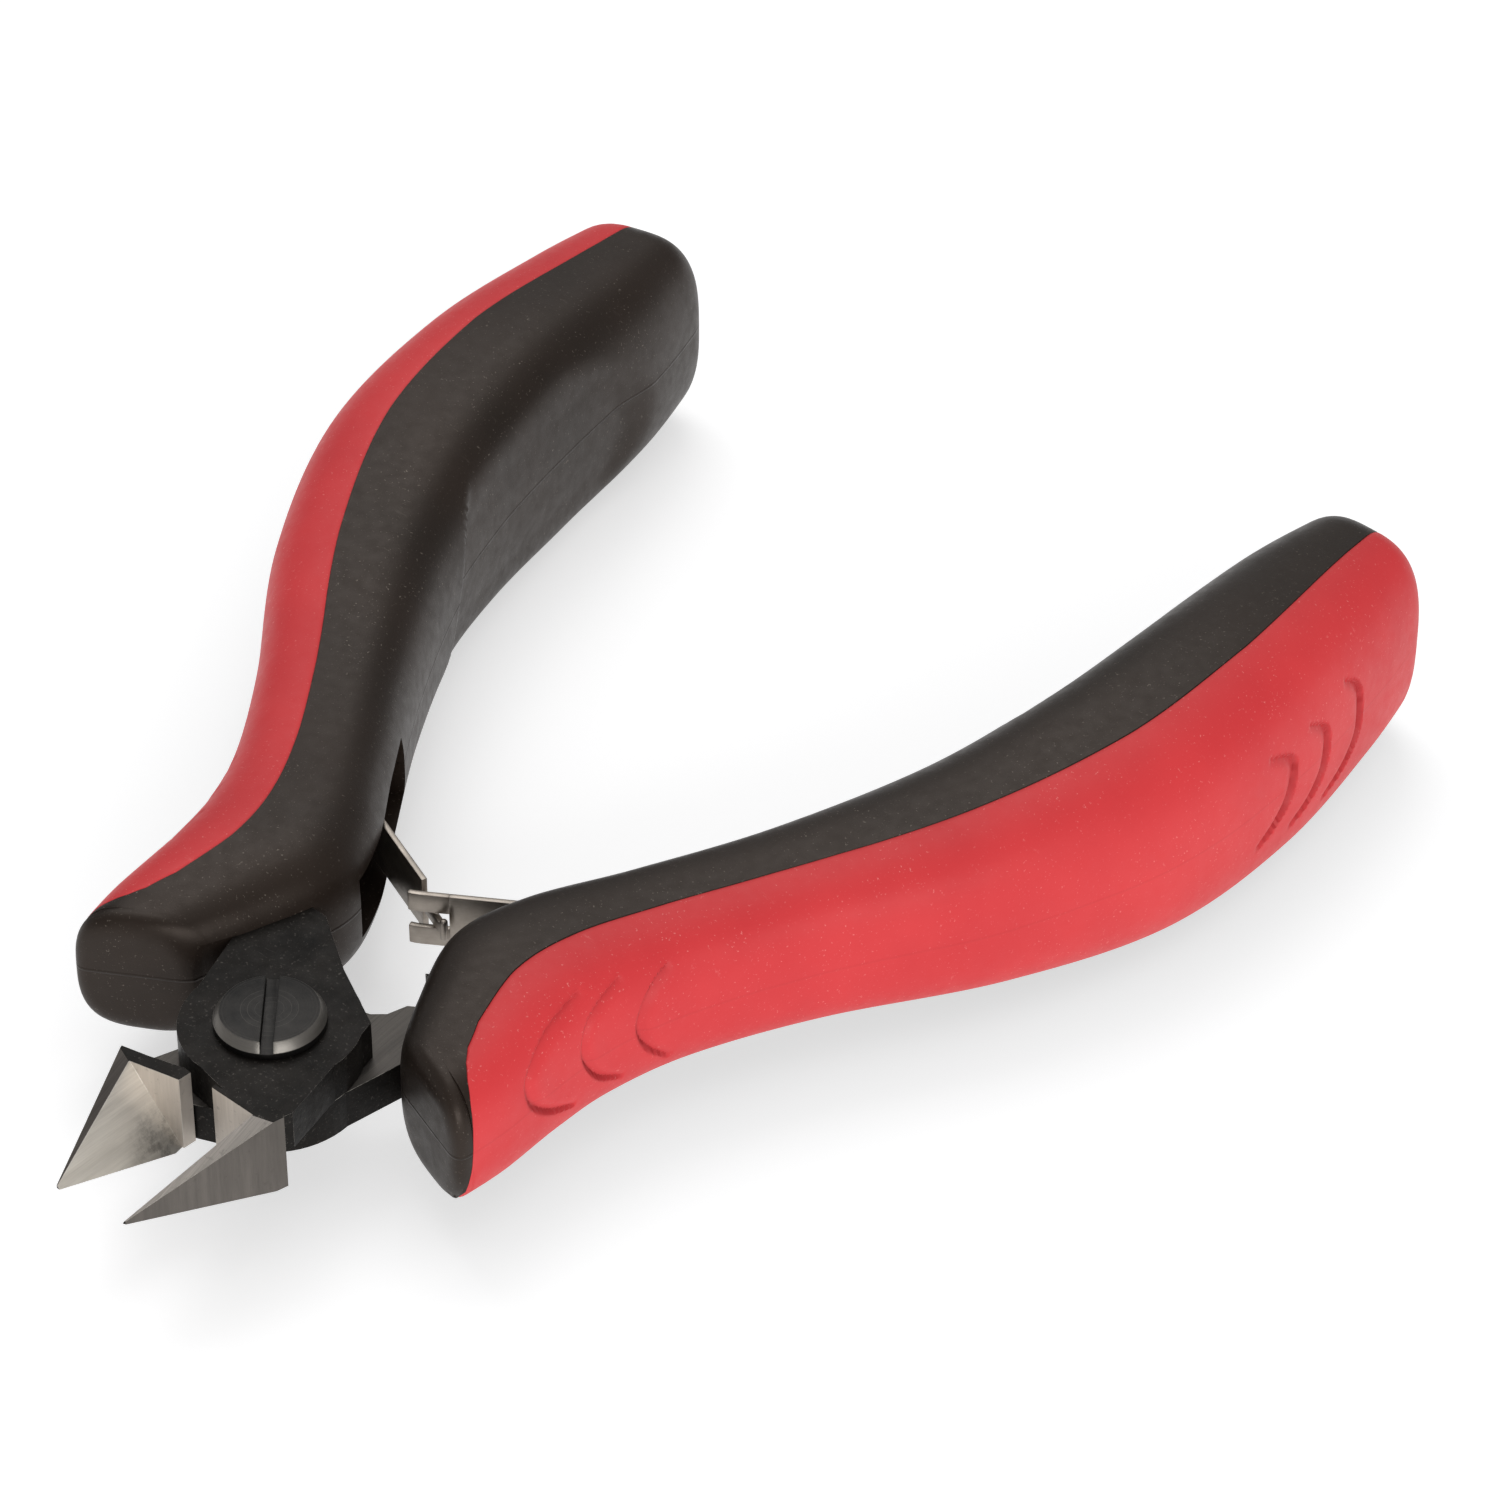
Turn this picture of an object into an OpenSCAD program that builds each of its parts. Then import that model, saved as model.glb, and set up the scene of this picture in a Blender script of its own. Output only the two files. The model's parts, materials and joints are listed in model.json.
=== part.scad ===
// Flush cutter, 122 mm long with its jaws closed.
// +Z is up and the cutter lies flat: jaws toward -Y, handles toward +Y, the parting plane of
// the lap joint level. Each half is drawn with the jaws closed, in tool coordinates whose
// origin is the pivot axis at the parting plane, and is then swung open by half of open_angle.

/* [Opening] */
// Angle between the two halves when the spring holds them open
open_angle = 16.6; // [8:0.2:18]
// Height of the parting plane above the bench
rest_height = 10; // [10:0.1:11]

/* [Head] */
// Thickness of the lap joint, both halves together
joint_t = 6.8; // [6.6:0.1:7]
// Width of the head when the jaws are closed
head_w = 13.4; // [13:0.1:13.8]
// Radius of the round boss at the pivot
boss_r = 7; // [6.6:0.1:7.2]
// Distance from the pivot to the tips of the jaws
jaw_reach = 20.9; // [19.5:0.1:22]
// Gap between the two sliding faces of the lap joint
lap_gap = 0.04; // [0.02:0.01:0.08]

/* [Pivot screw] */
// Diameter of the flat top of the screw head
screw_top_d = 7.6; // [7:0.1:7.8]
// Diameter of the screw head below its chamfer
screw_head_d = 8.6; // [8.4:0.1:9]
// Height of the screw head above the upper half
screw_head_h = 1.3; // [1.2:0.1:1.5]
// Diameter of the screw shank
shank_d = 5; // [4:0.1:5.4]
// Radial running clearance of the shank in the upper half
shank_clear = 0.03; // [0.01:0.01:0.1]
// Width of the driver slot
slot_w = 1; // [0.8:0.1:1.2]
// Depth of the driver slot
slot_depth = 0.8; // [0.6:0.1:1]

/* [Grips] */
// Thickness of the soft red cover over the black core
cover_t = 1.7; // [1.2:0.1:2]
// Squareness of the grip's section, 2 for an ellipse and more for a squarer one
section_power = 3; // [2.6:0.1:3.4]
// Number of sections along a grip between its two round ends
grip_steps = 22; // [14:1:26]

/* [Spring] */
// Thickness of a spring leaf
leaf_t = 0.5; // [0.4:0.05:0.6]
// Width of a spring leaf
leaf_w = 5; // [4.4:0.1:5.2]
// Distance from the bend at a leaf's foot to the point where the leaves cross
leaf_len = 13.6; // [13.4:0.1:13.8]

/* [Hidden] */
$fn = 64;

steel = [0.17, 0.16, 0.15];
rubber_black = [0.2, 0.19, 0.18];
rubber_red = [0.8, 0.2, 0.26];
nickel = [0.72, 0.7, 0.66];

half_open = open_angle / 2;
half_joint = joint_t / 2;
// Distance from the middle of the open cutter's length back to the pivot
pivot_back = 38.25;

// Places one half's geometry, drawn closed, into the open cutter. The right handle opens
// clockwise seen from above, and the left handle is its mirror image.
module right_side() {
    translate([0, -pivot_back, rest_height])
        rotate([0, 0, -half_open])
            children();
}
module left_side() {
    mirror([1, 0, 0])
        right_side()
            children();
}

// ---- Grip shape ------------------------------------------------------------------------

// Control sections of the right grip, from the finger guard to the rear end. Each is
// [inner edge x, y, outer edge x, y, half height, seam], where seam is the place of the
// red and black seam across the section, from -1 at the inner edge to 1 at the outer edge.
sections = [
    [9.4, 4, 18.8, 1.2, 5.5, 0.2],
    [6, 9, 18.8, 6.4, 6.2, 0.24],
    [2.8, 15.5, 18, 13, 6.9, 0.14],
    [3.6, 22, 17.9, 18.8, 6.9, 0.17],
    [7.1, 30.5, 19.4, 26, 6.6, 0.17],
    [11.4, 41.5, 23.5, 36.2, 6.8, 0.18],
    [15.2, 54.4, 30.2, 50, 8, 0.22],
    [16.7, 66, 34.2, 64.8, 9.5, 0.26],
    [16.8, 78, 33.7, 79.5, 10.2, 0.23],
    [16.2, 91, 31.1, 92.4, 9.5, 0.1],
    [16.9, 101, 28.6, 100.8, 8.6, 0.04]
];
last_section = len(sections) - 1;
front_round = 0.35;
front_flat = 0.68;
rear_round = 0.4;
rear_flat = 0.66;
round_steps = 4;

function clamp(v, lo, hi) = min(hi, max(lo, v));
function section_at(i) = sections[clamp(i, 0, last_section)];
function smooth(a, b, c, d, f) =
    0.5 * (2 * b + (c - a) * f + (2 * a - 5 * b + 4 * c - d) * f * f
        + (3 * b - a - 3 * c + d) * f * f * f);
function section(t) =
    let (i = floor(clamp(t, 0, last_section - 0.0001)), f = t - i)
    [for (k = [0 : 5])
        smooth(section_at(i - 1)[k], section_at(i)[k], section_at(i + 1)[k],
            section_at(i + 2)[k], f)];

// The red cover begins a little way behind the front of the finger guard, near the outer edge,
// and its seam curves inward from front_seam to its place in the sections over front_run
cover_start = 0.45;
front_seam = 0.66;
front_run = 0.7;
front_steps = 4;
nose_gap = 0.02;
// How far the seam's face leans outward on its way in
seam_lean = 0.05;
function seam_at(t) =
    let (own = section(t)[5], left = 1 - clamp((t - cover_start) / front_run, 0, 1))
    own + (front_seam - own) * left * left;
// Stations along a grip, as [position, size of the section there]
nose_stations = concat(
    [for (k = [0 : round_steps])
        [front_round * (1 - cos(90 * k / round_steps)),
            front_flat + (1 - front_flat) * sin(90 * k / round_steps)]],
    [[cover_start - nose_gap, 1]]);
body_start = cover_start + front_run;
cover_stations = concat(
    [for (k = [0 : front_steps - 1])
        [cover_start + front_run * k / front_steps, 1]],
    [for (k = [0 : grip_steps])
        [body_start + (last_section - body_start - rear_round) * k / (grip_steps + 1), 1]],
    [for (k = [round_steps : -1 : 0])
        [last_section - rear_round * (1 - cos(90 * k / round_steps)),
            rear_flat + (1 - rear_flat) * sin(90 * k / round_steps)]]);

// Half height of the section at lateral place x, for half width a and half height h
function arch(x, a, h) = h * pow(max(0, 1 - pow(abs(x) / a, section_power)), 1 / section_power);
// A point of the section: m is its middle, n the outward direction, x and z the place in it
function place(m, n, x, z) = [m.x + n.x * x, m.y + n.y * x, z];
// Place x between p and q, spaced closer together near both ends
function eased(p, q, f) = p + (q - p) * (1 - cos(180 * f)) / 2;

core_inner_points = 8;
core_step_points = 5;
cover_points = 7;

// Upper half of a core section as [x, z] pairs, from the inner edge to the outer end. The
// core is rebated by w for the cover behind the seam, and is whole in the finger guard.
function core_profile(a, h, seam, w, whole) =
    let (xs = seam * a, seat_a = whole ? a : a - w, seat_h = whole ? h : h - w,
        first = xs + (whole ? 0.1 * a : seam_lean))
    concat(
        [for (k = [0 : core_inner_points])
            let (x = eased(-a, xs, 0.06 + 0.94 * k / core_inner_points))
            k == 0 ? [-a, 0] : [x, arch(x, a, h)]],
        [for (k = [0 : core_step_points])
            let (x = eased(first, seat_a, k / core_step_points))
            [x, arch(x, seat_a, seat_h)]]
    );
// Closed outline of a cover section: over the outside, then back along its inside
function cover_profile(a, h, seam, w) =
    let (xs = seam * a,
        outside = [for (k = [0 : cover_points])
            let (x = eased(xs, a, k / cover_points)) [x, arch(x, a, h)]],
        inside = [for (k = [0 : core_step_points])
            let (x = eased(xs + seam_lean, a - w, k / core_step_points))
            [x, arch(x, a - w, h - w)]])
    concat(outside, [for (k = [cover_points - 1 : -1 : 0]) [outside[k].x, -outside[k].y]],
        [for (p = inside) [p.x, -p.y]],
        [for (k = [core_step_points - 1 : -1 : 0]) inside[k]]);

function ring(station, profile) =
    let (s = section(station[0]),
        m = [(s[0] + s[2]) / 2, (s[1] + s[3]) / 2],
        across = [s[2] - s[0], s[3] - s[1]],
        n = across / norm(across))
    [for (p = profile) place(m, n, p.x, p.y)];
function half_width(t) = let (s = section(t)) norm([s[2] - s[0], s[3] - s[1]]) / 2;

function core_ring(station) =
    let (g = station[1], s = section(station[0]),
        top = core_profile(half_width(station[0]) * g, s[4] * g, seam_at(station[0]), cover_t * g,
            station[0] < cover_start),
        n = len(top))
    ring(station, concat(top, [for (k = [n - 2 : -1 : 1]) [top[k].x, -top[k].y]]));
function cover_ring(station) =
    let (g = station[1], s = section(station[0]))
    ring(station,
        cover_profile(half_width(station[0]) * g, s[4] * g, seam_at(station[0]), cover_t * g));

// Faces of the side wall between rings of n points. The core's and the cover's rings run in
// opposite directions where they touch, so the cover's quads are split along the other diagonal.
function wall_faces(rings, n, other = false) = [
    for (i = [0 : rings - 2], j = [0 : n - 1])
        let (a = i * n + j, b = i * n + (j + 1) % n)
        each other ? [[a, a + n, b + n], [a, b + n, b]] : [[a, a + n, b], [b, a + n, b + n]]
];
// Cap of a core ring: strips between its upper and lower halves
function core_cap(n, at, front) = [
    for (k = [0 : n / 2 - 1])
        let (a = at + k, b = at + k + 1, c = at + (n - k - 1) % n, d = at + (n - k) % n)
        each (k == 0 ? [front ? [a, b, c] : [a, c, b]]
            : k == n / 2 - 1 ? [front ? [a, b, d] : [a, d, b]]
            : front ? [[a, c, d], [a, b, c]] : [[a, d, c], [a, c, b]])
];

module grip_core_blank() {
    rings = [for (s = concat(nose_stations, cover_stations)) core_ring(s)];
    n = len(rings[0]);
    polyhedron(
        points = [for (r = rings) each r],
        faces = concat(wall_faces(len(rings), n), core_cap(n, 0, true),
            core_cap(n, (len(rings) - 1) * n, false)),
        convexity = 6);
}

// Cap of a cover ring: strips between its outside and its inside, which has fewer points
function cover_cap(at, front) =
    let (m = 2 * cover_points, n = m + 2 * core_step_points + 2)
    [for (k = [0 : m - 1])
        let (q = floor(k * 2 * core_step_points / m + 0.5),
            q2 = floor((k + 1) * 2 * core_step_points / m + 0.5),
            a = at + k, b = at + k + 1, c = at + n - 1 - q, d = at + n - 1 - q2)
        each concat([front ? [a, b, c] : [a, c, b]],
            q2 > q ? [front ? [b, d, c] : [b, c, d]] : [])];

module grip_cover_shape() {
    rings = [for (s = cover_stations) cover_ring(s)];
    n = len(rings[0]);
    polyhedron(
        points = [for (r = rings) each r],
        faces = concat(wall_faces(len(rings), n, true), cover_cap(0, true),
            cover_cap((len(rings) - 1) * n, false)),
        convexity = 6);
}

// ---- Steel halves ----------------------------------------------------------------------

// Half width of the steel tang inside the grip, from the mouth of the grip to its end
tang_front_half_w = 4.1;
tang_rear_half_w = 2.4;
tang_first = 1.8;
tang_last = 7.6;
tang_points = 9;
shoulder_r = 12.6;
side_x = head_w / 2;
shoulder_y = 3.4;

// A point on the tang's edge: t is the place along the grip, side -1 inner and 1 outer
function tang_point(t, side) =
    let (s = section(t), m = [(s[0] + s[2]) / 2, (s[1] + s[3]) / 2],
        across = [s[2] - s[0], s[3] - s[1]],
        f = (t - tang_first) / (tang_last - tang_first),
        w = tang_front_half_w + (tang_rear_half_w - tang_front_half_w) * f)
    m + across / norm(across) * side * w;
function tang_place(k) = tang_first + (tang_last - tang_first) * k / (tang_points - 1);

// Flat seat for the spring leaf's foot on the tang's inner edge, in the foot's own frame
seat_depth = 3;
seat_end = 1;
module foot_place() {
    translate(bend)
        rotate(foot_turn)
            children();
}

// Inner edge of the arm between the head and the tang: the lower half's is cut in deeper
upper_arm_inner = [[-side_x, shoulder_y], [-1.8, 7.7], [2.6, 12.4]];
lower_arm_inner = [[-side_x, shoulder_y], [-1.8, 7.2], [1.7, 8.4], [2.6, 9.3], [3, 11]];

// Arm and tang of the right half, seen from above, out from the side of the head
module arm_outline(inner) {
    difference() {
        union() {
            polygon(concat(inner,
                [for (k = [0 : tang_points - 1]) tang_point(tang_place(k), -1)],
                [for (k = [tang_points - 1 : -1 : 0]) tang_point(tang_place(k), 1)],
                [[10.6, 10.4], [7.6, 7], [6.8, 0]]));
            foot_place()
                translate([0, -leaf_t / 2 - seat_depth])
                    square([foot_len + seat_end, seat_depth]);
        }
        foot_place()
            translate([-2, -leaf_t / 2])
                square([foot_len + seat_end + 3, seat_depth]);
        translate(bend)
            circle(r = knuckle_r + knuckle_clear);
    }
}

// Plate of the right half's lap joint. Its jaw is on the left, and waist relieves that side.
module plate_outline(waist) {
    circle(r = boss_r);
    polygon([[2, -6.7], [-0.8, -8], [-4.2, -9.1], [-6, -9.1], [-side_x, jaw_back_y],
        [-side_x + waist, -4], [-side_x + waist, -2], [-side_x, 0.6],
        [-side_x, shoulder_y], [-1.8, 7.2], [4, 5.7]]);
}

// Cuts away everything on the side of the plane through p, q and r that its normal points to
module cut_beyond(p, q, r) {
    normal = cross(q - p, r - p);
    unit = normal / norm(normal);
    reach = 60;
    translate(p)
        rotate([0, acos(unit.z), atan2(unit.y, unit.x)])
            translate([-reach / 2, -reach / 2, 0])
                cube([reach, reach, reach / 2]);
}

jaw_root_y = -9.5;
// Start of the top and bottom tapers, a little nearer the head than the bevel's crest
root_offset = 0.05;
crest_x = 4.2;
// Corner of the jaw's outer side, and how far along the jaw the set-back bevel moves it
jaw_side_x = 6.4;
jaw_side_y = -8.6;
side_set_back = 1.1;
edge_root_y = -9.9;
edge_gap = 0.01;
tip_top = 0.5;
tip_low = 0.2;
tip_w = 0.3;
jaw_back_y = -7.9;
notch_x = 3.6;
bevel_wall_near = -8;
bevel_wall_far = -10.1;

// Jaw of the right half: it lies on the left, with its cutting edge along x = 0 when closed.
// Its bevel ends at a wall near the head, and set_back moves that wall toward the tip. The
// outer side tapers to the tip from a corner that moves along the same side.
module jaw(set_back) {
    edge_root = [-edge_gap, edge_root_y, -half_joint];
    edge_tip = [-edge_gap, -jaw_reach, tip_low];
    crest = [-crest_x, jaw_root_y - set_back, half_joint];
    side_top = [-side_x, jaw_root_y + root_offset, half_joint];
    side_low = [-side_x, jaw_root_y + root_offset, -half_joint];
    moved = side_set_back * set_back;
    top_tip = [-tip_w, -jaw_reach, tip_top];
    difference() {
        translate([0, 0, -half_joint])
            linear_extrude(joint_t)
                polygon([[-edge_gap, jaw_back_y], [-edge_gap, -jaw_reach],
                    [-tip_w, -jaw_reach], [-jaw_side_x + moved / 2, jaw_side_y - moved],
                    [-notch_x, jaw_side_y + 0.2 - moved / 2],
                    [-edge_gap - set_back, jaw_back_y]]);
        // Top taper of the jaw
        cut_beyond(side_top, top_tip, crest);
        // Flush face underneath
        cut_beyond(side_low, edge_root, edge_tip);
        // Ground inner bevel, down to the cutting edge, ending at a wall near the head
        intersection() {
            cut_beyond(edge_root, crest, edge_tip);
            translate([0, 0, -half_joint - 1])
                linear_extrude(joint_t + 2)
                    polygon([[1, bevel_wall_near - set_back], [-side_x, bevel_wall_far - set_back],
                        [-side_x, -jaw_reach - 1], [1, -jaw_reach - 1]]);
        }
    }
}

// One forging: level is -1 for the half whose lap lies below the parting plane, 1 above it,
// and set_back is how much nearer the tip its bevel ends.
module forging(level, waist, inner, set_back) {
    lap_t = half_joint - lap_gap / 2;
    lap_low = level < 0 ? -half_joint : lap_gap / 2;
    color(steel)
        difference() {
            union() {
                translate([0, 0, lap_low])
                    linear_extrude(lap_t) {
                        plate_outline(waist);
                        arm_outline(inner);
                    }
                jaw(set_back);
                // Full-thickness tang beyond the shoulder
                difference() {
                    translate([0, 0, -half_joint])
                        linear_extrude(2 * half_joint)
                            arm_outline(inner);
                    translate([0, 0, -half_joint - 1])
                        cylinder(r = shoulder_r, h = 2 * half_joint + 2);
                }
            }
            translate([0, 0, -half_joint - 1])
                cylinder(d = shank_d + (level > 0 ? 2 * shank_clear : 0), h = joint_t + 2);
            foot_frame()
                rivet_hole();
        }
}

module upper_half() {
    left_side()
        forging(1, 0, upper_arm_inner, 0);
}
module lower_half() {
    right_side()
        forging(-1, 1.1, lower_arm_inner, 0.8);
}

// ---- Pivot screw -----------------------------------------------------------------------

head_seat_gap = 0.03;
chamfer_h = 0.75;
slot_turn = -54;
module pivot_screw() {
    head_low = half_joint + head_seat_gap;
    color(steel)
        translate([0, -pivot_back, rest_height])
            difference() {
                union() {
                    translate([0, 0, -half_joint])
                        cylinder(d = shank_d, h = joint_t + head_seat_gap);
                    translate([0, 0, head_low])
                        cylinder(d = screw_head_d, h = screw_head_h - chamfer_h);
                    translate([0, 0, head_low + screw_head_h - chamfer_h])
                        cylinder(d1 = screw_head_d, d2 = screw_top_d, h = chamfer_h);
                }
                translate([0, 0, head_low + screw_head_h - slot_depth])
                    rotate([0, 0, slot_turn])
                        translate([-screw_head_d, -slot_w / 2, 0])
                            cube([2 * screw_head_d, slot_w, 2]);
            }
}

// ---- Spring ----------------------------------------------------------------------------

// Bend of the right leaf, where its foot ends and its free arm begins, with the jaws closed
bend = [8.2, 27.4];
foot_len = 6.2;
foot_turn = 71;
leaf_turn = 215.6;
bend_gap = 0.05;
rivet_d = 1.8;
rivet_head_d = 3;
rivet_head_h = 0.6;
rivet_at = 3.4;
rivet_len = 2.8;
knuckle_r = 0.5;
knuckle_clear = 0.15;

// Frame whose +X runs from the bend along the foot, beside the tang
module foot_frame() {
    translate([bend.x, bend.y, 0])
        rotate([0, 0, foot_turn])
            children();
}
// Frame whose +X runs from the bend along the free arm as the open cutter holds it
module leaf_frame() {
    translate([bend.x, bend.y, 0])
        rotate([0, 0, leaf_turn])
            children();
}

// Hole for the rivet through the foot and into the tang
module rivet_hole() {
    translate([rivet_at, -rivet_len, 0])
        rotate([-90, 0, 0])
            cylinder(d = rivet_d, h = rivet_len + leaf_t);
}
module spring_foot() {
    color(nickel)
        foot_frame()
            difference() {
                translate([knuckle_r + bend_gap, -leaf_t / 2, -leaf_w / 2])
                    cube([foot_len, leaf_t, leaf_w]);
                rivet_hole();
            }
}
module spring_rivet() {
    color(nickel)
        foot_frame()
            translate([rivet_at, 0, 0])
                rotate([-90, 0, 0]) {
                    translate([0, 0, leaf_t / 2])
                        cylinder(d = rivet_head_d, h = rivet_head_h);
                    translate([0, 0, -rivet_len])
                        cylinder(d = rivet_d, h = rivet_len + leaf_t / 2);
                }
}

fork_gap = 1.5;
fork_reach = 2.1;
fork_depth = 3.2;
neck_w = 1.1;
neck_start = 2;
neck_reach = 1.2;
bar_h = 2;
bar_t = 0.5;

// Free arm up to length len, with the round knuckle at its bend
module leaf_arm(len, w) {
    translate([0, 0, -w / 2])
        cylinder(r = knuckle_r, h = w);
    translate([0, -leaf_t / 2, -w / 2])
        cube([len, leaf_t, w]);
}
// Right leaf: its end is a fork that the left leaf's neck passes through
module forked_leaf() {
    color(nickel)
        leaf_frame()
            difference() {
                leaf_arm(leaf_len + fork_reach, leaf_w);
                translate([leaf_len + fork_reach - fork_depth, -leaf_t, -fork_gap / 2])
                    cube([fork_depth + 1, 2 * leaf_t, fork_gap]);
            }
}
// Left leaf: a narrow neck with a cross bar that hooks behind the fork
module hooked_leaf() {
    color(nickel)
        leaf_frame() {
            leaf_arm(leaf_len - neck_start, leaf_w);
            translate([leaf_len - neck_start - 0.5, -leaf_t / 2, -neck_w / 2])
                cube([neck_start + neck_reach + 0.5, leaf_t, neck_w]);
            translate([leaf_len + neck_reach, -bar_t / 2, -bar_h / 2])
                cube([bar_t, bar_t, bar_h]);
        }
}

// Pocket in the grip's inner side: the leaf's foot lies in it and the arm folds into it
pocket_half_h = 2.9;
module spring_pocket() {
    translate([0, 0, -pocket_half_h])
        linear_extrude(2 * pocket_half_h)
            polygon([[-6, 14], [2.4, 17.2], [6, 21.6], [8.9, 26.4], [11.4, 33.9],
                [8.6, 34.6], [-6, 27]]);
}

// ---- Grips -----------------------------------------------------------------------------

// Pocket in the finger guard around the head, so that the other half can turn
guard_pocket_r = 10.4;
mouth_clear = 0.1;
module head_pocket() {
    translate([0, 0, -half_joint - mouth_clear])
        cylinder(r = guard_pocket_r, h = joint_t + 2 * mouth_clear);
}
module tang_cavity() {
    translate([0, 0, -half_joint])
        linear_extrude(joint_t)
            arm_outline(upper_arm_inner);
}
// Flat land under the grip, where it lies on the bench
module bench_cut() {
    reach = 200;
    translate([-reach / 2, -reach / 2, -rest_height - 10])
        cube([reach, reach, 10]);
}

module grip_core() {
    color(rubber_black)
        difference() {
            grip_core_blank();
            tang_cavity();
            head_pocket();
            spring_pocket();
            bench_cut();
        }
}
module grip_cover() {
    color(rubber_red)
        difference() {
            grip_cover_shape();
            bench_cut();
        }
}

module left_grip_core() {
    left_side()
        grip_core();
}
module right_grip_core() {
    right_side()
        grip_core();
}
module left_grip_cover() {
    left_side()
        grip_cover();
}
module right_grip_cover() {
    right_side()
        grip_cover();
}
module left_spring_foot() {
    left_side()
        spring_foot();
}
module right_spring_foot() {
    right_side()
        spring_foot();
}
module left_spring_rivet() {
    left_side()
        spring_rivet();
}
module right_spring_rivet() {
    right_side()
        spring_rivet();
}
module left_spring_leaf() {
    left_side()
        hooked_leaf();
}
module right_spring_leaf() {
    right_side()
        forked_leaf();
}

upper_half();
lower_half();
pivot_screw();
left_grip_core();
right_grip_core();
left_grip_cover();
right_grip_cover();
left_spring_foot();
right_spring_foot();
left_spring_rivet();
right_spring_rivet();
left_spring_leaf();
right_spring_leaf();
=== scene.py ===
import json
import math

import bmesh
import bpy
import numpy as np
from mathutils import Matrix, Vector


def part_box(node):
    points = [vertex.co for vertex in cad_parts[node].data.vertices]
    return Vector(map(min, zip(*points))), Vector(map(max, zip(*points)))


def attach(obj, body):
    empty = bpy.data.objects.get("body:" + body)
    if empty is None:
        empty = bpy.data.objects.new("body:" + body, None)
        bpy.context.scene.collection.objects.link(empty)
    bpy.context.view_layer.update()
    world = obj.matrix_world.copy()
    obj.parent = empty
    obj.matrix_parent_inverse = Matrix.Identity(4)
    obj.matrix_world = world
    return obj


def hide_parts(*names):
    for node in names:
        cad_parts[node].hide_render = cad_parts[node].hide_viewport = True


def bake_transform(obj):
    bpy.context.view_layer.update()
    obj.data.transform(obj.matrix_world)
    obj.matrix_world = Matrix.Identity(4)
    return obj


# Flush cutter, open on a white bench: two-colour grips, black forged halves with ground jaws,
# a slotted pivot screw and a hooked pair of spring strips. Lengths are in mm until to_frame().
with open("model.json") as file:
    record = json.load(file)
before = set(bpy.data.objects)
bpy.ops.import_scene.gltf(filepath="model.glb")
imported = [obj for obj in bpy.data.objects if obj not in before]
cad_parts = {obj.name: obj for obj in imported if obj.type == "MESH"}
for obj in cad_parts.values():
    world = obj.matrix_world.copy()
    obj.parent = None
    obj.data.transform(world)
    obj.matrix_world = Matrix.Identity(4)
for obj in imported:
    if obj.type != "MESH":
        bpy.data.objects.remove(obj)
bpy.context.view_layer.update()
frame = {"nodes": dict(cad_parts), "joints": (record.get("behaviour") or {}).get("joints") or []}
NODES = frame["nodes"]

# ---- The frame: pivot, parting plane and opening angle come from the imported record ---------
HINGE = [j for j in frame["joints"] if j["name"] == "handles"][0]
PIVOT = Vector(HINGE["pos_m"]) * 1000.0
HALF_OPEN = math.radians(HINGE["range_deg"][1]) / 2
REST_Z = PIVOT.z
HEAD_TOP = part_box("pivot_screw")[1].z * 1000.0
HALF_T = (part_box("upper_half")[1].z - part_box("upper_half")[0].z) * 500.0
MM = 0.001


def to_frame(points, side):
    """Closed tool coordinates in mm, right half, to the row frame in metres. side is 1 right, -1 left."""
    p = np.asarray(points, float)
    c, s = math.cos(-HALF_OPEN), math.sin(-HALF_OPEN)
    x = p[:, 0] * c - p[:, 1] * s
    y = p[:, 0] * s + p[:, 1] * c
    return np.stack([x * side, y + PIVOT.y, p[:, 2] + REST_Z], 1) * MM


def new_object(name, verts, faces, smooth=True):
    me = bpy.data.meshes.new(name)
    me.from_pydata([tuple(v) for v in verts], [], [tuple(f) for f in faces])
    me.validate()
    bm = bmesh.new()
    bm.from_mesh(me)
    bmesh.ops.recalc_face_normals(bm, faces=bm.faces)
    bm.to_mesh(me)
    bm.free()
    for p in me.polygons:
        p.use_smooth = smooth
    o = bpy.data.objects.new(name, me)
    bpy.context.scene.collection.objects.link(o)
    return o


def apply_modifiers(o):
    dg = bpy.context.evaluated_depsgraph_get()
    dg.update()
    me = bpy.data.meshes.new_from_object(o.evaluated_get(dg))
    old = o.data
    o.modifiers.clear()
    o.data = me
    me.name = o.name
    if old.users == 0:
        bpy.data.meshes.remove(old)


# ---- Materials ----------------------------------------------------------------------------

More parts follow.
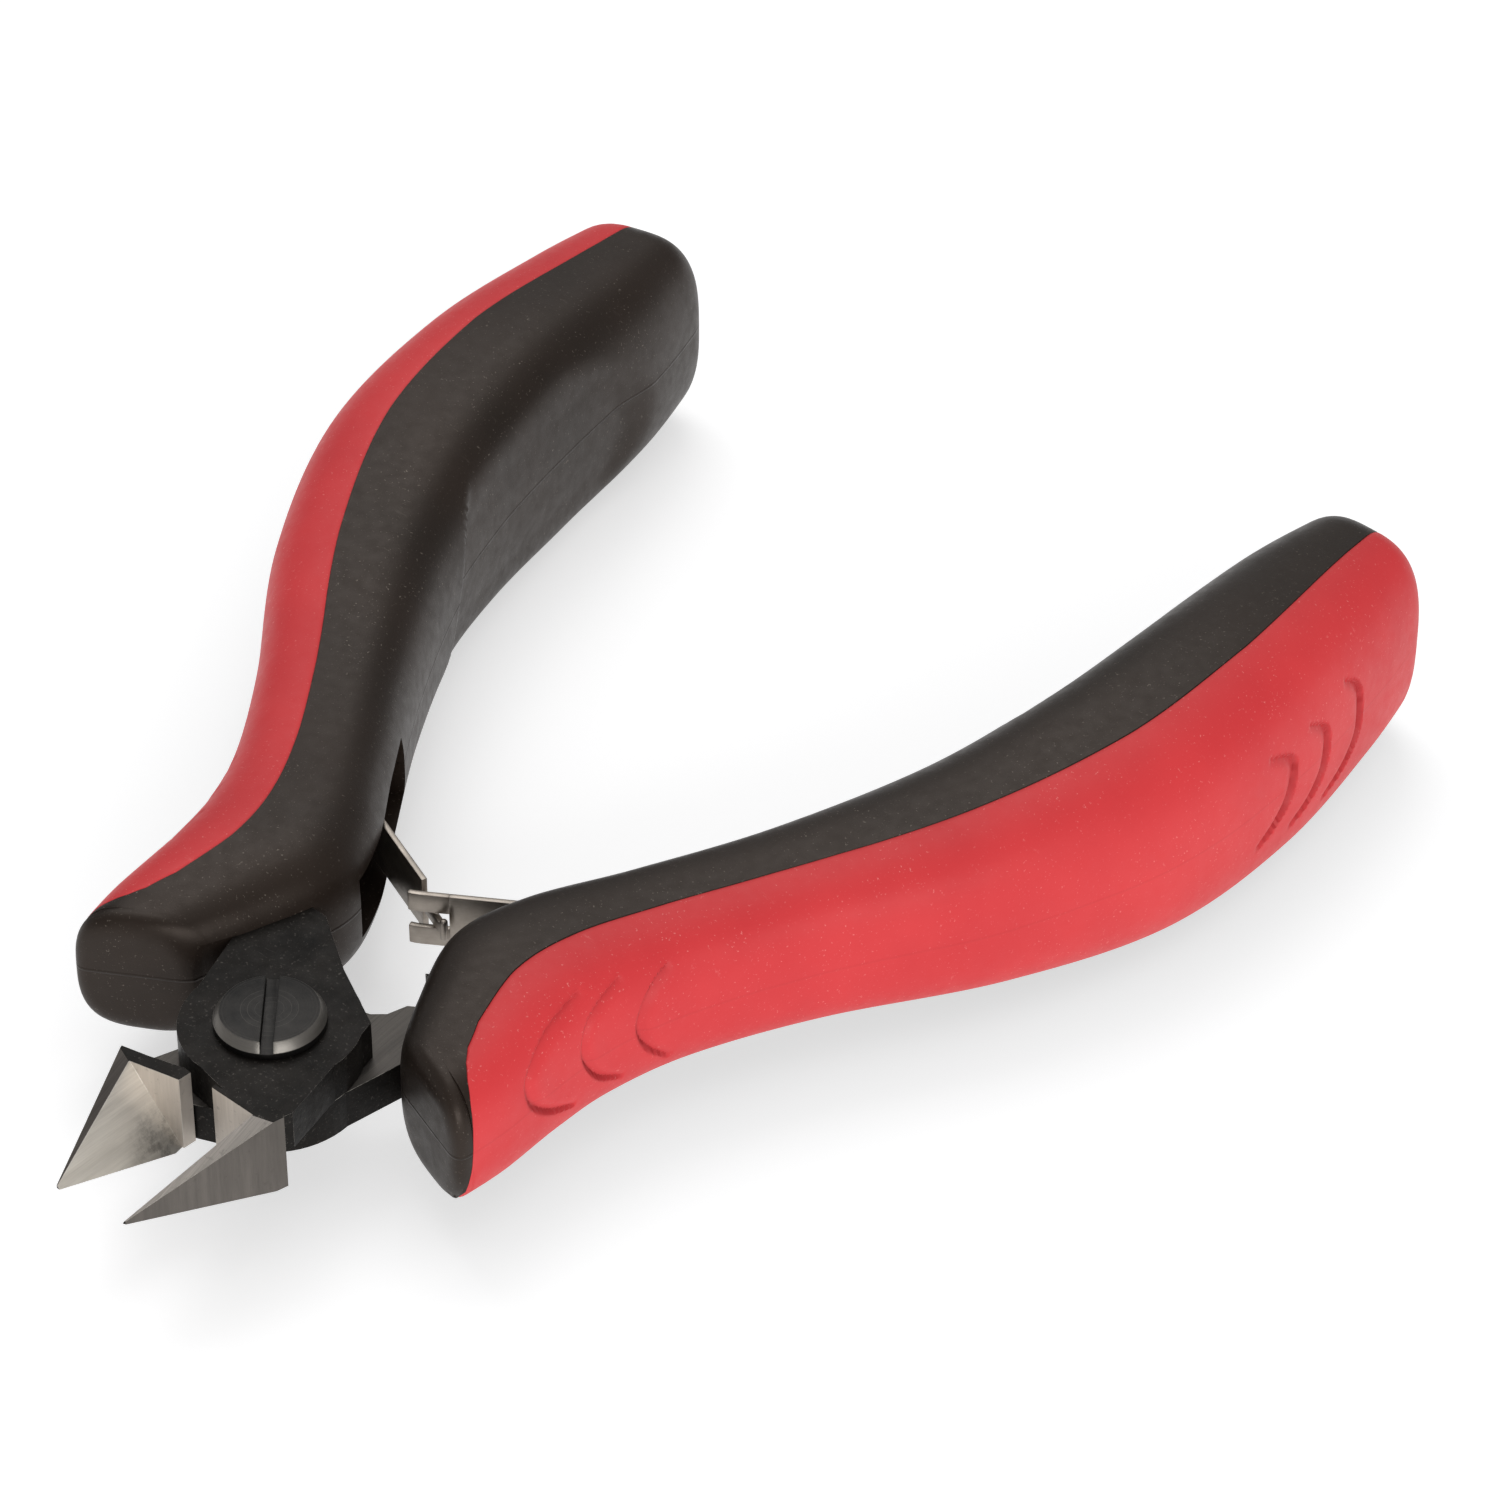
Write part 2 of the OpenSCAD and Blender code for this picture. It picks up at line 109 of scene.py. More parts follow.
class Mat:
    """Small helper around one node tree; object coordinates are in metres."""

    def __init__(self, name):
        self.m = bpy.data.materials.new(name)
        self.m.use_nodes = True
        self.t = self.m.node_tree
        self.n = self.t.nodes
        self.n.clear()
        self.out = self.n.new("ShaderNodeOutputMaterial")
        self.b = self.n.new("ShaderNodeBsdfPrincipled")
        self.t.links.new(self.b.outputs[0], self.out.inputs[0])
        self.co = self.n.new("ShaderNodeTexCoord").outputs["Object"]

    def link(self, a, b):
        self.t.links.new(a, b)

    def mapping(self, scale=(1, 1, 1), rot=(0, 0, 0), src=None):
        m = self.n.new("ShaderNodeMapping")
        m.inputs["Scale"].default_value = scale
        m.inputs["Rotation"].default_value = rot
        self.link(src or self.co, m.inputs[0])
        return m.outputs[0]

    def noise(self, scale, detail=4, rough=0.55, vec=None, dist=0.0):
        t = self.n.new("ShaderNodeTexNoise")
        t.inputs["Scale"].default_value = scale
        t.inputs["Detail"].default_value = detail
        t.inputs["Roughness"].default_value = rough
        t.inputs["Distortion"].default_value = dist
        self.link(vec or self.co, t.inputs["Vector"])
        return t.outputs["Fac"]

    def ramp(self, fac, stops):
        r = self.n.new("ShaderNodeValToRGB")
        e = r.color_ramp.elements
        while len(e) < len(stops):
            e.new(0.5)
        for el, (p, c) in zip(e, stops):
            el.position = p
            el.color = (c, c, c, 1) if not hasattr(c, "__len__") else (*c, 1)
        self.link(fac, r.inputs[0])
        return r.outputs[0]

    def mix(self, fac, a, b):
        m = self.n.new("ShaderNodeMix")
        m.data_type = "RGBA"
        for sock, v in ((m.inputs[0], fac), (m.inputs[6], a), (m.inputs[7], b)):
            if isinstance(v, bpy.types.NodeSocket):
                self.link(v, sock)
            elif hasattr(v, "__len__"):
                sock.default_value = (*v, 1)
            else:
                sock.default_value = v
        return m.outputs[2]

    def math(self, op, a, b=0.0):
        m = self.n.new("ShaderNodeMath")
        m.operation = op
        for sock, v in ((m.inputs[0], a), (m.inputs[1], b)):
            if isinstance(v, bpy.types.NodeSocket):
                self.link(v, sock)
            else:
                sock.default_value = v
        return m.outputs[0]

    def attribute(self, name):
        a = self.n.new("ShaderNodeAttribute")
        a.attribute_name = name
        return a.outputs["Fac"]

    def bump(self, height, strength=0.3, distance=0.0001, normal=None):
        b = self.n.new("ShaderNodeBump")
        b.inputs["Strength"].default_value = strength
        b.inputs["Distance"].default_value = distance
        self.link(height, b.inputs["Height"])
        if normal is not None:
            self.link(normal, b.inputs["Normal"])
        return b.outputs[0]

    def set(self, name, value):
        s = self.b.inputs[name]
        if isinstance(value, bpy.types.NodeSocket):
            self.link(value, s)
        elif hasattr(value, "__len__"):
            s.default_value = (*value, 1)
        else:
            s.default_value = value


def rubber(name, base, deep, dust, rough, spec, line_dark, dusty, tint):
    m = Mat(name)
    broad = m.ramp(m.noise(70, 3), [(0.35, 0), (0.7, 1)])
    col = m.mix(broad, base, deep)
    specks = m.ramp(m.noise(4200, 2, 0.6), [(0.655, 0), (0.72, 1)])
    patch = m.ramp(m.noise(160, 3), [(0.4, 0.25), (0.75, 1)])
    col = m.mix(m.math("MULTIPLY", m.math("MULTIPLY", specks, patch), dusty), col, dust)
    scuff = m.ramp(m.noise(1.0, 5, 0.7, m.mapping((300, 1400, 700), (0.3, 0.2, 0.6))), [(0.66, 0), (0.73, 1)])
    col = m.mix(m.math("MULTIPLY", scuff, 0.12), col, dust)
    # fine moulding line where the two mould halves met
    sep = m.n.new("ShaderNodeSeparateXYZ")
    m.link(m.co, sep.inputs[0])
    waver = m.math("MULTIPLY", m.math("SUBTRACT", m.noise(60, 2), 0.5), 0.0006)
    height = m.math("ADD", m.math("SUBTRACT", sep.outputs[2], (REST_Z + 0.3) * MM), waver)
    line = m.ramp(m.math("MULTIPLY", m.math("ABSOLUTE", height), 1000.0), [(0.05, 1), (0.16, 0)])
    col = m.mix(m.math("MULTIPLY", line, line_dark), col, [c * 0.4 for c in base])
    # painted shade along the steep edge of each pressed groove, read from a point attribute on the cover
    col = m.mix(m.math("MULTIPLY", m.attribute("groove_shade"), 0.65), col, [c * 0.6 for c in deep])
    m.set("Base Color", col)
    m.set("Roughness", m.ramp(m.noise(900, 4), [(0.3, rough - 0.05), (0.7, rough + 0.06)]))
    m.set("Specular IOR Level", spec)
    m.set("Specular Tint", tint)
    grain = m.bump(m.noise(7500, 3, 0.65), 0.28, 0.00004)
    grain = m.bump(m.noise(420, 3), 0.12, 0.00014, grain)
    m.set("Normal", m.bump(line, line_dark, 0.00008, grain))
    return m.m


def black_oxide(name, worn):
    m = Mat(name)
    blot = m.ramp(m.noise(260, 6, 0.65), [(0.3, 0), (0.75, 1)])
    col = m.mix(blot, (0.006, 0.0054, 0.0048), (0.017, 0.0145, 0.0125))
    specks = m.ramp(m.noise(3600, 3, 0.7), [(0.6, 0), (0.72, 1)])
    col = m.mix(m.math("MULTIPLY", specks, 0.4), col, (0.15, 0.135, 0.12))
    scr = m.noise(1.0, 5, 0.7, m.mapping((400.0, 3800.0, 400.0), (0, 0, 0.7)))
    col = m.mix(m.math("MULTIPLY", m.ramp(scr, [(0.66, 0), (0.72, 1)]), 0.2), col, (0.2, 0.19, 0.17))
    if worn:
        chew = m.ramp(m.noise(700, 6, 0.75), [(0.42, 0), (0.6, 1)])
        col = m.mix(m.math("MULTIPLY", chew, worn), col, (0.62, 0.58, 0.52))
    m.set("Base Color", col)
    m.set("Metallic", 0.5)
    m.set("Roughness", m.ramp(m.noise(700, 5), [(0.3, 0.36), (0.7, 0.52)]))
    m.set("Specular IOR Level", 0.14)
    peel = m.bump(m.noise(2400, 5, 0.6), 0.4, 0.00008)
    m.set("Normal", m.bump(m.noise(330, 3), 0.15, 0.0001, peel))
    return m.m


def ground(name, bright, dull, turn, rough=0.3, shade_at=None, shade_radius=3.0, pitch=5200.0):
    """Ground steel with scratch lines. turn is the direction across the lines, as an angle about Z."""
    m = Mat(name)
    fine = m.noise(1.0, 6, 0.75, m.mapping((pitch, 90.0, 90.0), (0, 0, turn)))
    wide = m.noise(1.0, 4, 0.6, m.mapping((pitch * 0.18, 60.0, 60.0), (0, 0, turn)))
    col = m.mix(m.ramp(fine, [(0.3, 0), (0.7, 1)]), dull, bright)
    col = m.mix(m.math("MULTIPLY", m.ramp(wide, [(0.45, 0), (0.7, 1)]), 0.4), col, [c * 0.6 for c in dull])
    blot = m.ramp(m.noise(900, 7, 0.8), [(0.44, 0), (0.6, 1)])
    if shade_at is not None:
        # painted shade: a mottled dark patch on the bevel round the given point, fading out over the given radius
        d = m.n.new("ShaderNodeVectorMath")
        d.operation = "DISTANCE"
        m.link(m.co, d.inputs[0])
        d.inputs[1].default_value = shade_at
        near = m.ramp(m.math("MULTIPLY", d.outputs["Value"], 1.0 / (shade_radius * MM)), [(0.3, 1), (1.0, 0)])
        fac = m.math("MULTIPLY", near, m.math("ADD", m.math("MULTIPLY", blot, 0.4), 0.12))
        col = m.mix(fac, col, (0.035, 0.03, 0.026))
    else:
        col = m.mix(m.math("MULTIPLY", m.ramp(m.noise(1500, 5, 0.7), [(0.6, 0), (0.7, 1)]), 0.4), col, (0.08, 0.07, 0.06))
    m.set("Base Color", col)
    m.set("Metallic", 0.7)
    m.set("Roughness", m.ramp(fine, [(0.3, rough), (0.75, rough + 0.2)]))
    m.set("Normal", m.bump(fine, 0.3, 0.00004, m.bump(m.noise(1500, 4), 0.1, 0.00003)))
    return m.m


def closed_point(x, y, z, side):
    return to_frame([(x, y, z)], side)[0]


RED = rubber("red_rubber", (0.69, 0.045, 0.050), (0.61, 0.034, 0.040), (0.9, 0.4, 0.37), 0.5, 0.3, 0.08, 0.5, (1.0, 0.9, 0.88))
BLACK = rubber("black_rubber", (0.0165, 0.0108, 0.0080), (0.0100, 0.0070, 0.0052), (0.17, 0.145, 0.12), 0.42, 0.33, 0.5, 0.95, (1.0, 0.84, 0.74))
OXIDE = black_oxide("black_oxide", 0.0)
EDGE_WORN = black_oxide("worn_edge", 0.85)
# One ground steel finish in copies whose brightness is set by how lit or shaded each face is: painted light and
# shade. The two bevel copies also carry a painted shade patch, and the edge copy is a painted highlight.
BEVEL_L_LIT = ground("ground_left_bevel_lit", (0.86, 0.82, 0.75), (0.66, 0.62, 0.56), 0.5, 0.3,
                 tuple(closed_point(-1.0, -10.8, -2.4, 1)), 3.6)
BEVEL_R_SHADED = ground("ground_right_bevel_shaded", (0.66, 0.63, 0.58), (0.5, 0.47, 0.42), -0.5, 0.3,
                 tuple(closed_point(-1.0, -10.8, -2.4, -1)), 3.6)
STRIP_L_SHADED = ground("ground_left_strip_shaded", (0.12, 0.105, 0.095), (0.055, 0.048, 0.043), 0.3, 0.4)
STRIP_R_LIT = ground("ground_right_strip_lit", (0.36, 0.33, 0.3), (0.16, 0.145, 0.13), 0.75, 0.34)
WALL_LIT = ground("ground_wall_lit", (0.62, 0.56, 0.5), (0.46, 0.41, 0.36), 0.1, 0.4, None, 3.0, 2400.0)
SIDE_SHADED = ground("ground_side_shaded", (0.17, 0.152, 0.136), (0.1, 0.089, 0.079), 0.2, 0.45, None, 3.0, 3600.0)
LAP_SHADED = ground("ground_lap_shaded", (0.13, 0.118, 0.105), (0.045, 0.040, 0.036), -0.55, 0.4)
GLINT = ground("ground_edge_glint", (0.75, 0.71, 0.65), (0.5, 0.46, 0.42), 0.5, 0.25)


# ---- Grips --------------------------------------------------------------------------------
# Sections of the right grip in closed tool coordinates, mm: inner x, y, outer x, y, half height
SECTIONS = np.array([
    [9.4, 4, 18.8, 1.2, 5.5],
    [6, 9, 18.8, 6.4, 6.2],
    [2.8, 15.5, 18, 13, 6.9],
    [3.6, 22, 17.9, 18.8, 6.9],
    [7.1, 30.5, 19.4, 26, 6.6],
    [11.4, 41.5, 23.5, 36.2, 6.8],
    [15.2, 54.4, 30.2, 50, 8],
    [16.7, 66, 34.2, 64.8, 9.5],
    [16.8, 78, 33.7, 79.5, 10.2],
    [16.2, 91, 31.1, 92.4, 9.5],
    [16.9, 101, 28.6, 100.8, 8.6],
])
LAST = len(SECTIONS) - 1
POWER = 3.0


def section(t):
    t = min(max(t, 0.0), LAST - 1e-6)
    i = int(t)
    f = t - i
    a, b, c, d = (SECTIONS[min(max(k, 0), LAST)] for k in (i - 1, i, i + 1, i + 2))
    return 0.5 * (2 * b + (c - a) * f + (2 * a - 5 * b + 4 * c - d) * f * f
                  + (3 * b - a - 3 * c + d) * f ** 3)


# Angle of the colour seam round the section, from the outer edge, at places along the grip
SEAM_T = [0.20, 0.25, 0.33, 0.40, 0.43, 0.48, 0.58, 0.70, 0.85, 1.2, 2.0, 3.0, 4.0, 4.8, 5.4, 6.0,
          7.0, 8.0, 8.7, 9.3, 10.0]
SEAM_UP = [-48, -30, -12, 2, 18, 40, 60, 72, 79, 84, 86, 86.5, 87, 86.5, 85, 84.5,
           82.6, 82.4, 84.5, 86.5, 88]
SEAM_LOW = [-60, -72, -77, -79, -80, -81, -82, -83, -84, -84, -86, -86.5, -87, -86.5, -85, -84.5,
            -82.6, -82.4, -84.5, -86.5, -88]
COVER_FROM = 0.2


def stations():
    """Positions along the grip with the size of the section there: both ends are rounded."""
    ts = [0.35 * (1 - math.cos(math.pi / 2 * k / 12)) for k in range(13)]
    marks = [(0.35, 1.0, 26), (1.0, 1.3, 6), (1.3, 3.9, 110), (3.9, 5.8, 40), (5.8, 6.6, 40),
             (6.6, 7.45, 24), (7.45, 8.85, 110), (8.85, LAST - 0.4, 20)]
    for lo, hi, n in marks:
        ts += [lo + (hi - lo) * k / n for k in range(1, n + 1)]
    ts += [LAST - 0.4 + 0.4 * math.sin(math.pi / 2 * k / 12) for k in range(1, 13)]
    return [(t, size_at(t)) for t in ts]


def size_at(t):
    if t < 0.35:
        return 0.68 + 0.32 * math.sin(math.acos(min(1, max(0, 1 - t / 0.35))))
    if t > LAST - 0.4:
        return 0.66 + 0.34 * math.sin(math.acos(min(1, max(0, 1 - (LAST - t) / 0.4))))
    return 1.0


def spread(th0, th1, n):
    """Angles from th0 to th1 spaced about evenly along the section's surface."""
    fine = np.linspace(th0, th1, 721)
    e = 2.0 / POWER
    x = np.sign(np.cos(fine)) * np.abs(np.cos(fine)) ** e
    y = np.sign(np.sin(fine)) * np.abs(np.sin(fine)) ** e
    run = np.concatenate([[0], np.cumsum(np.hypot(np.diff(x), np.diff(y)))])
    return np.interp(np.linspace(0, run[-1], n), run, fine)


OUTER, INNER = 91, 71
STATIONS = stations()


def frame_at(t):
    s = section(t)
    p, q = s[0:2], s[2:4]
    m = (p + q) / 2
    w = np.linalg.norm(q - p)
    return m, (q - p) / w, w / 2, s[4]


def seam_angles(t):
    return (math.radians(np.interp(t, SEAM_T, SEAM_LOW)), math.radians(np.interp(t, SEAM_T, SEAM_UP)))


# Curved grooves pressed into the red face, in closed tool coordinates along the face (place
# along the grip in sections, height in mm). Each is a fading chain of points.
# Each crescent is a line of (place along the grip, height) points
GROOVES = [
    [(2.60, 5.79), (1.85, 5.0), (1.41, 3.3), (1.38, 1.6), (1.50, 0.0), (1.8, -1.8), (2.21, -3.0)],
    [(3.18, 5.44), (2.58, 3.97), (2.37, 2.02), (2.45, 0.0), (2.70, -2.0), (3.06, -3.3)],
    [(3.74, 4.99), (3.48, 3.70), (3.30, 1.75), (3.3, 0.0), (3.43, -1.74), (3.68, -3.5)],
    [(8.46, 5.48), (8.62, 3.8), (8.67, 1.80), (8.66, -1.2), (8.5, -3.4), (8.25, -4.8)],
    [(8.06, 4.66), (8.22, 3.2), (8.27, 1.42), (8.24, -1.2), (8.1, -3.2), (7.90, -4.4)],
    [(7.67, 4.62), (7.85, 3.4), (7.92, 1.8), (7.88, -0.90), (7.75, -2.6), (7.58, -3.8)],
]


def curve_points(g, n=10):
    g = np.array(g)
    out = []
    for i in range(len(g) - 1):
        a, b, c, d = (g[min(max(k, 0), len(g) - 1)] for k in (i - 1, i, i + 1, i + 2))
        for k in range(n):
            f = k / n
            out.append(0.5 * (2 * b + (c - a) * f + (2 * a - 5 * b + 4 * c - d) * f * f
                              + (3 * b - a - 3 * c + d) * f ** 3))
    return np.array(out + [g[-1]])


def groove_depth(t, z):
    """Depth of the pressed crescents and nearness to their steep edge, both 0 to 1, at (t, z) arrays."""
    best = np.zeros_like(t)
    crease = np.zeros_like(t)
    for g in GROOVES:
        c = curve_points(g)
        front = c[0, 0] < 5
        scale = 6.6 if front else 14.0
        p = np.stack([t * scale, z], -1)
        c = c * np.array([scale, 1.0])
        dist = np.full(t.shape, 1e9)
        along = np.zeros(t.shape)
        sign = np.zeros(t.shape)
        for i in range(len(c) - 1):
            v = c[i + 1] - c[i]
            w = p - c[i]
            f = np.clip((w @ v) / (v @ v), 0, 1)
            e = w - f[..., None] * v
            d = np.hypot(e[..., 0], e[..., 1])
            side = np.sign(v[0] * w[..., 1] - v[1] * w[..., 0])
            nearer = d < dist
            dist = np.where(nearer, d, dist)
            along = np.where(nearer, (i + f) / (len(c) - 1), along)
            sign = np.where(nearer, side, sign)
        hollow = sign > 0 if front else sign < 0
        wide = np.where(hollow, 0.75, 0.12) * (0.45 + 0.55 * np.sin(np.pi * np.clip(along, 0.02, 0.98)))
        fade = np.clip(np.sin(np.pi * np.clip(along, 0, 1)), 0, 1) ** 0.35
        best = np.maximum(best, fade * np.exp(-(dist / wide) ** 2))
        crease = np.maximum(crease, fade * np.exp(-(dist / 0.2) ** 2))
    return best, crease


def smoothstep(x):
    x = np.clip(x, 0, 1)
    return x * x * (3 - 2 * x)


def core_scoop(t, z, h):
    """Long shallow scoop in the inner face: a curved step at the front, fading out at the rear."""
    start = 6.02 + 0.055 * z
    start = np.where(z > 3, start + 0.012 * (z - 3) ** 2, start)
    end = 8.95 - 0.02 * z - 0.008 * z * z
    return (0.9 * smoothstep((t - start) / 0.07) * (1 - smoothstep((t - end + 0.45) / 0.45))
            * (1 - smoothstep((np.abs(z) / h - 0.4) / 0.5)))


def flash(t, z, across):
    """Torn skin of moulding flash low on the outer front of the guard, as a part of the half width."""
    where = smoothstep((-1.9 - z) / 0.8) * smoothstep((across - 0.1) / 0.4) * smoothstep((0.5 - t) / 0.12)
    wave = np.sin(z * 5.3 + t * 41.0) + 0.7 * np.sin(z * 11.9 - t * 67.0 + 1.3) + 0.5 * np.sin(across * 31 + t * 90)
    return 0.035 * where * smoothstep((wave + 0.2) / 0.5)


def place_points(t, x, z):
    m, n = frame_at(t)[:2]
    return np.stack([m[0] + n[0] * x, m[1] + n[1] * x, np.maximum(z, -REST_Z)], 1)


def section_points(ths, a, h):
    e = 2.0 / POWER
    c, s = np.cos(ths), np.sin(ths)
    return a * np.sign(c) * np.abs(c) ** e, h * np.sign(s) * np.abs(s) ** e


def loft(name, rings, side, caps):
    n = len(rings[0])
    verts = np.concatenate(rings)
    faces = [(i * n + j, i * n + (j + 1) % n, (i + 1) * n + (j + 1) % n, (i + 1) * n + j)
             for i in range(len(rings) - 1) for j in range(n)]
    faces += caps(0, n) + caps((len(rings) - 1) * n, n)
    return new_object(name, to_frame(verts, side), faces)


def core_mesh(name, side):
    """The black core: whole in the finger guard, sunk under the cover behind it."""
    rings = []
    for t, g in STATIONS:
        m, n, a, h = frame_at(t)
        a, h = a * g, h * g
        low, high = seam_angles(t)
        outer = spread(low, high, OUTER)
        inner = spread(high, low + 2 * math.pi, INNER)[1:-1]
        x, z = section_points(outer, a, h)
        k = np.arange(OUTER)
        deep = np.clip(np.minimum(k, OUTER - 1 - k) / 2.0, 0, 1) * 0.6 * (t > COVER_FROM)
        xs, zs = section_points(outer, a - deep, h - deep)
        xi, zi = section_points(inner, a, h)
        if side > 0:
            torn = flash(t, zs, xs / a)
            xs, zs = xs * (1 + torn), zs * (1 + 0.4 * torn)
        xi = xi + core_scoop(t, zi, h) * (xi < -0.5 * a) * smoothstep((-xi / a - 0.5) / 0.3)
        rings.append(place_points(t, np.concatenate([xs, xi]), np.concatenate([zs, zi])))

    def cap(base, n):
        return [tuple(range(base, base + n))]
    return loft(name, rings, side, cap)


def cover_mesh(name, side):
    """The soft red cover over the outer part of the section, with a fine rolled edge at the seam."""
    rings, groove_shade = [], []
    thick, lip = 0.9, 0.14
    for t, g in [s for s in STATIONS if s[0] > COVER_FROM]:
        m, n, a, h = frame_at(t)
        a, h = a * g, h * g
        low, high = seam_angles(t)
        ths = spread(low, high, OUTER)
        x, z = section_points(ths, a + 0.02, h + 0.02)
        k = np.arange(OUTER)
        from_edge = np.minimum(k, OUTER - 1 - k)
        start = smoothstep((t - COVER_FROM) / 0.03)
        sink = lip * np.exp(-from_edge / 0.55) + lip * (1 - start)
        depth, crease = groove_depth(np.full(x.shape, t), z)
        groove = 0.55 * depth * (x > 0.4 * a)
        # point attribute for the painted shade along the steep edge of each groove
        groove_shade += list(crease * (x > 0.4 * a)) + [0.0] * OUTER
        xo, zo = section_points(ths, a + 0.02 - sink, h + 0.02 - sink)
        xo = xo - groove
        xi, zi = section_points(ths[::-1], a - thick, h - thick)
        keep = np.clip((np.minimum(k, OUTER - 1 - k))[::-1] / 3.0, 0, 1)
        xi = xo[::-1] * (1 - keep) + xi * keep
        zi = zo[::-1] * (1 - keep) + zi * keep
        zi = np.where(keep < 1e-6, zi - np.sign(zi) * 0.05, zi)
        rings.append(place_points(t, np.concatenate([xo, xi]), np.concatenate([zo, zi])))

    def cap(base, n):
        half = n // 2
        return [(base + k, base + k + 1, base + n - 2 - k, base + n - 1 - k) for k in range(half - 1)]
    o = loft(name, rings, side, cap)
    o.data.attributes.new("groove_shade", "FLOAT", "POINT").data.foreach_set("value", np.array(groove_shade, np.float32))
    return o


def prism(name, outline, z0, z1, side):
    n = len(outline)
    verts = [(x, y, z0) for x, y in outline] + [(x, y, z1) for x, y in outline]
    faces = [tuple(range(n)), tuple(range(2 * n - 1, n - 1, -1))]
    faces += [(k, (k + 1) % n, n + (k + 1) % n, n + k) for k in range(n)]
    return new_object(name, to_frame(verts, side), faces, smooth=False)


def cut(o, cutters):
    for c in cutters:
        mod = o.modifiers.new("cut", "BOOLEAN")
        mod.operation = "DIFFERENCE"
        mod.solver = "EXACT"
        mod.object = c
    apply_modifiers(o)
    for c in cutters:
        me = c.data
        bpy.data.objects.remove(c)
        bpy.data.meshes.remove(me)


def circle(r, n=96, centre=(0, 0)):
    return [(centre[0] + r * math.cos(2 * math.pi * k / n), centre[1] + r * math.sin(2 * math.pi * k / n))
            for k in range(n)]


def tang_outline():
    inner, outer = [], []
    for k in range(24):
        f = k / 23
        m, n = frame_at(1.8 + 5.8 * f)[:2]
        w = 4.1 + (2.4 - 4.1) * f
        inner.append(tuple(m - n * w))
        outer.append(tuple(m + n * w))
    return [(-6.7, 3.4), (-1.8, 7.7), (2.6, 12.4)] + inner + outer[::-1] + [(10.6, 10.4), (7.6, 7), (6.8, 0)]


def finish_grip(o, material, nodes, body):
    o.data.materials.clear()
    o.data.materials.append(material)
    for p in o.data.polygons:
        p.use_smooth = True
    o.data.set_sharp_from_angle(angle=math.radians(38))
    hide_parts(*nodes)
    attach(o, body)


for side, word in ((1, "right"), (-1, "left")):
    core = core_mesh(word + "_core", side)
    cutters = [
        prism("head_cut", circle(10.4), -HALF_T - 0.1, HALF_T + 0.1, side),
        prism("tang_cut", tang_outline(), -HALF_T, HALF_T, side),
        prism("spring_cut", [(-6, 14), (2.4, 17.2), (6, 21.6), (8.9, 26.4), (11.4, 33.9), (8.6, 34.6), (-6, 27)],
              -2.9, 2.9, side),
    ]
    cut(core, cutters)
    finish_grip(core, BLACK, [word + "_grip_core"], word)
    cover = cover_mesh(word + "_cover", side)
    finish_grip(cover, RED, [word + "_grip_cover"], word)
    # keeps the bench's soft shadow neutral: the black core behind the cover still darkens it
    cover.visible_diffuse = False


# ---- Steel halves and screw: bevelled copies of the CAD solids ------------------------------

def steel_copy(name, node, bevel, segments=2, angle=25):
    src = NODES[node]
    me = src.data.copy()
    o = bpy.data.objects.new(name, me)
    bpy.context.scene.collection.objects.link(o)
    bm = bmesh.new()
    bm.from_mesh(me)
    bmesh.ops.remove_doubles(bm, verts=bm.verts, dist=2e-6)
    bmesh.ops.dissolve_limit(bm, angle_limit=math.radians(1.0), verts=bm.verts, edges=bm.edges)
    bm.to_mesh(me)
    bm.free()
    mod = o.modifiers.new("bevel", "BEVEL")
    mod.width = bevel * MM
    mod.segments = segments
    mod.limit_method = "ANGLE"
    mod.angle_limit = math.radians(angle)
    mod.use_clamp_overlap = True
    mod.material = 1
    mod.harden_normals = False
    me.materials.clear()
    me.materials.append(OXIDE)
    me.materials.append(EDGE_WORN)
    apply_modifiers(o)
    return o


def half(name, node, body, side):
    """A forged half: black all over, with ground bevels, jaw sides and lap face."""
    o = steel_copy(name, node, 0.16)
    me = o.data
    for m in (BEVEL_L_LIT if side > 0 else BEVEL_R_SHADED, WALL_LIT, SIDE_SHADED, LAP_SHADED, STRIP_L_SHADED if side > 0 else STRIP_R_LIT, GLINT):
        me.materials.append(m)
    # each face is judged in closed tool coordinates; this half's jaw is across from its handle
    rot = Matrix.Rotation(HALF_OPEN * side, 3, "Z")
    bm = bmesh.new()
    bm.from_mesh(me)
    bm.faces.ensure_lookup_table()
    for f in bm.faces:
        c = rot @ (f.calc_center_median() * 1000 - PIVOT)
        n = rot @ f.normal
        f.smooth = f.material_index == 1
        if f.material_index == 1:
            continue
        inward = n.x * side
        if c.y < -8.2 and n.y < 0.5 and not (abs(n.z) > 0.999 and c.y > -10):
            if n.z > 0.25 and inward > 0.25:
                f.material_index = 2
            elif n.z > 0.25:
                f.material_index = 6
            elif abs(n.z) < 0.2 and c.y > -11 and (n.y < -0.8 or (side > 0 and inward > 0.6)):
                f.material_index = 3
            elif (inward < -0.3 and abs(n.z) < 0.3 and c.y < -9.6) or n.z < -0.3:
                f.material_index = 4
        elif side > 0 and n.z > 0.99 and abs(c.z) < 0.2:
            f.material_index = 5
    # bevel faces along a ground face take the edge copy: a painted highlight on the ground edges
    for f in bm.faces:
        if f.material_index == 1:
            near = {g.material_index for e in f.edges for g in e.link_faces}
            if near & {2, 3, 6}:
                f.material_index = 7
    bm.to_mesh(me)
    bm.free()
    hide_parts(node)
    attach(o, body)
    return o


half("lower_steel", "lower_half", "right", 1)
half("upper_steel", "upper_half", "left", -1)


